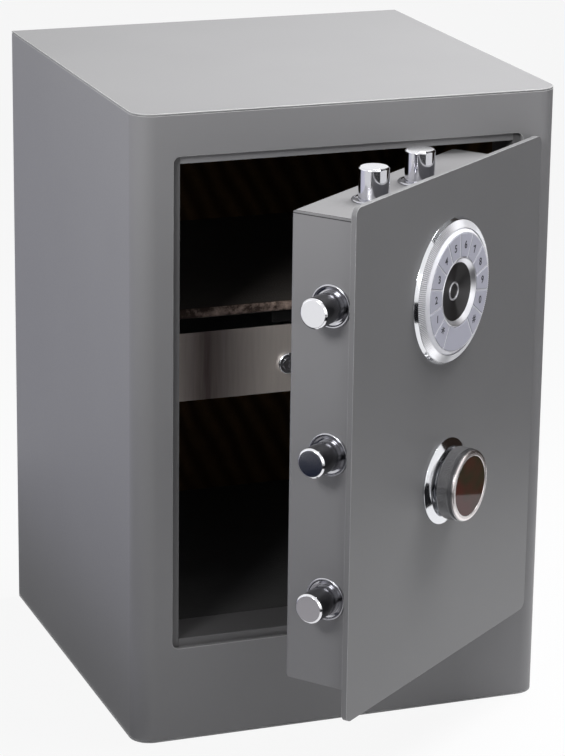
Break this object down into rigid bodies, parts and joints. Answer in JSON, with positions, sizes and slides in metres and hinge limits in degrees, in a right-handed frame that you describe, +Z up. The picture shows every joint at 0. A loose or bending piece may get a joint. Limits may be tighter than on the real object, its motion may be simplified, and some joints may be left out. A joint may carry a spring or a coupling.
{
  "type": "safe deposit box",
  "caption": "Grey steel safe with its door ajar, round bolts thrown by a knob, a round keypad, a felt-lined inside, a shelf and a small locking drawer.",
  "frame": {"origin": "centre of the base, on the floor", "axes": "+Z up; +X to the right seen from the front; +Y from the door towards the back"},
  "size_m": [0.41, 0.6188, 0.6],
  "materials": {
    "coat": "satin grey powder coat",
    "inner_coat": "satin dark grey paint",
    "chrome": "polished",
    "steel": "brushed",
    "felt": "short dark felt",
    "black": "satin black",
    "key": "satin pale grey",
    "white": "gloss white",
    "smoked": "mirror gloss dark brown"
  },
  "bodies": {
    "safe": {"front_frame": "coat", "left_side": "coat", "right_side": "coat", "top_plate": "coat", "bottom_plate": "coat", "back_plate": "coat", "left_jamb": "inner_coat", "right_jamb": "inner_coat", "head_jamb": "inner_coat", "sill_jamb": "inner_coat", "hinge_brackets": "inner_coat", "hinge_pins": "steel", "floor_panel": "inner_coat", "floor_mat": "felt", "wall_linings": "felt", "shelf": "felt", "shelf_brackets": "inner_coat", "drawer_runners": "steel", "drawer_keeper": "steel"},
    "door": {"door_plate": "coat", "hinge_arms": "inner_coat", "lock_case": "coat", "case_cover": "coat", "cover_screws": "steel", "battery_box": "black", "bolt_collars": "chrome", "solenoid_body": "black", "keypad_bezel": "chrome", "keypad_ring": "steel", "keypad_face": "white", "keypad_blank": "key", "keypad_hub": "black", "knob_rose": "chrome"},
    "key_star": {"key_star": "key"},
    "key_1": {"key_1": "key"},
    "key_2": {"key_2": "key"},
    "key_3": {"key_3": "key"},
    "key_4": {"key_4": "key"},
    "key_5": {"key_5": "key"},
    "key_6": {"key_6": "key"},
    "key_7": {"key_7": "key"},
    "key_8": {"key_8": "key"},
    "key_9": {"key_9": "key"},
    "key_0": {"key_0": "key"},
    "key_hash": {"key_hash": "key"},
    "knob": {"knob_grip": "chrome", "knob_cap": "smoked", "knob_spindle": "steel", "drive_cam": "steel"},
    "blocking_pin": {"blocking_pin": "steel"},
    "side_bolt_set": {"side_bolts": "chrome", "side_bolt_bar": "steel"},
    "top_bolt_set": {"top_bolts": "chrome", "top_bolt_bar": "steel"},
    "drawer": {"drawer_tray": "steel", "drawer_front": "steel", "drawer_lock_barrel": "chrome"},
    "drawer_lock": {"drawer_lock_cam": "steel"}
  },
  "joints": [
    {"name": "door_hinge", "type": "hinge", "parent": "safe", "child": "door", "pos_m": [0.187, -0.1815, 0.326], "axis": [0, 0, 1], "range_deg": [-38, 67]},
    {"name": "knob_turn", "type": "hinge", "parent": "door", "child": "knob", "pos_m": [0.05257, -0.31318, 0.271], "axis": [0.6157, -0.788, 0], "range_deg": [-90, 0]},
    {"name": "side_bolt_slide", "type": "slide", "parent": "door", "child": "side_bolt_set", "axis": [-0.788, -0.6157, 0], "range_m": [-0.027, 0]},
    {"name": "top_bolt_slide", "type": "slide", "parent": "door", "child": "top_bolt_set", "axis": [0, 0, 1], "range_m": [-0.027, 0]},
    {"name": "blocking_pin_slide", "type": "slide", "parent": "door", "child": "blocking_pin", "axis": [-0.788, -0.6157, 0], "range_m": [0, 0.006]},
    {"name": "drawer_slide", "type": "slide", "parent": "safe", "child": "drawer", "axis": [0, -1, 0], "range_m": [0, 0.055]},
    {"name": "drawer_lock_turn", "type": "hinge", "parent": "drawer", "child": "drawer_lock", "pos_m": [-0.027, -0.11, 0.3325], "axis": [0, 1, 0], "range_deg": [-90, 0]},
    {"name": "key_star_press", "type": "slide", "parent": "door", "child": "key_star", "axis": [-0.6157, 0.788, 0], "range_m": [0, 0.001], "stiffness_N_per_m": 400},
    {"name": "key_1_press", "type": "slide", "parent": "door", "child": "key_1", "axis": [-0.6157, 0.788, 0], "range_m": [0, 0.001], "stiffness_N_per_m": 400},
    {"name": "key_2_press", "type": "slide", "parent": "door", "child": "key_2", "axis": [-0.6157, 0.788, 0], "range_m": [0, 0.001], "stiffness_N_per_m": 400},
    {"name": "key_3_press", "type": "slide", "parent": "door", "child": "key_3", "axis": [-0.6157, 0.788, 0], "range_m": [0, 0.001], "stiffness_N_per_m": 400},
    {"name": "key_4_press", "type": "slide", "parent": "door", "child": "key_4", "axis": [-0.6157, 0.788, 0], "range_m": [0, 0.001], "stiffness_N_per_m": 400},
    {"name": "key_5_press", "type": "slide", "parent": "door", "child": "key_5", "axis": [-0.6157, 0.788, 0], "range_m": [0, 0.001], "stiffness_N_per_m": 400},
    {"name": "key_6_press", "type": "slide", "parent": "door", "child": "key_6", "axis": [-0.6157, 0.788, 0], "range_m": [0, 0.001], "stiffness_N_per_m": 400},
    {"name": "key_7_press", "type": "slide", "parent": "door", "child": "key_7", "axis": [-0.6157, 0.788, 0], "range_m": [0, 0.001], "stiffness_N_per_m": 400},
    {"name": "key_8_press", "type": "slide", "parent": "door", "child": "key_8", "axis": [-0.6157, 0.788, 0], "range_m": [0, 0.001], "stiffness_N_per_m": 400},
    {"name": "key_9_press", "type": "slide", "parent": "door", "child": "key_9", "axis": [-0.6157, 0.788, 0], "range_m": [0, 0.001], "stiffness_N_per_m": 400},
    {"name": "key_0_press", "type": "slide", "parent": "door", "child": "key_0", "axis": [-0.6157, 0.788, 0], "range_m": [0, 0.001], "stiffness_N_per_m": 400},
    {"name": "key_hash_press", "type": "slide", "parent": "door", "child": "key_hash", "axis": [-0.6157, 0.788, 0], "range_m": [0, 0.001], "stiffness_N_per_m": 400}
  ],
  "couplings": [
    {"joint": "side_bolt_slide", "follows": "knob_turn", "m_per_rad": 0.017189},
    {"joint": "top_bolt_slide", "follows": "knob_turn", "m_per_rad": 0.017189}
  ]
}
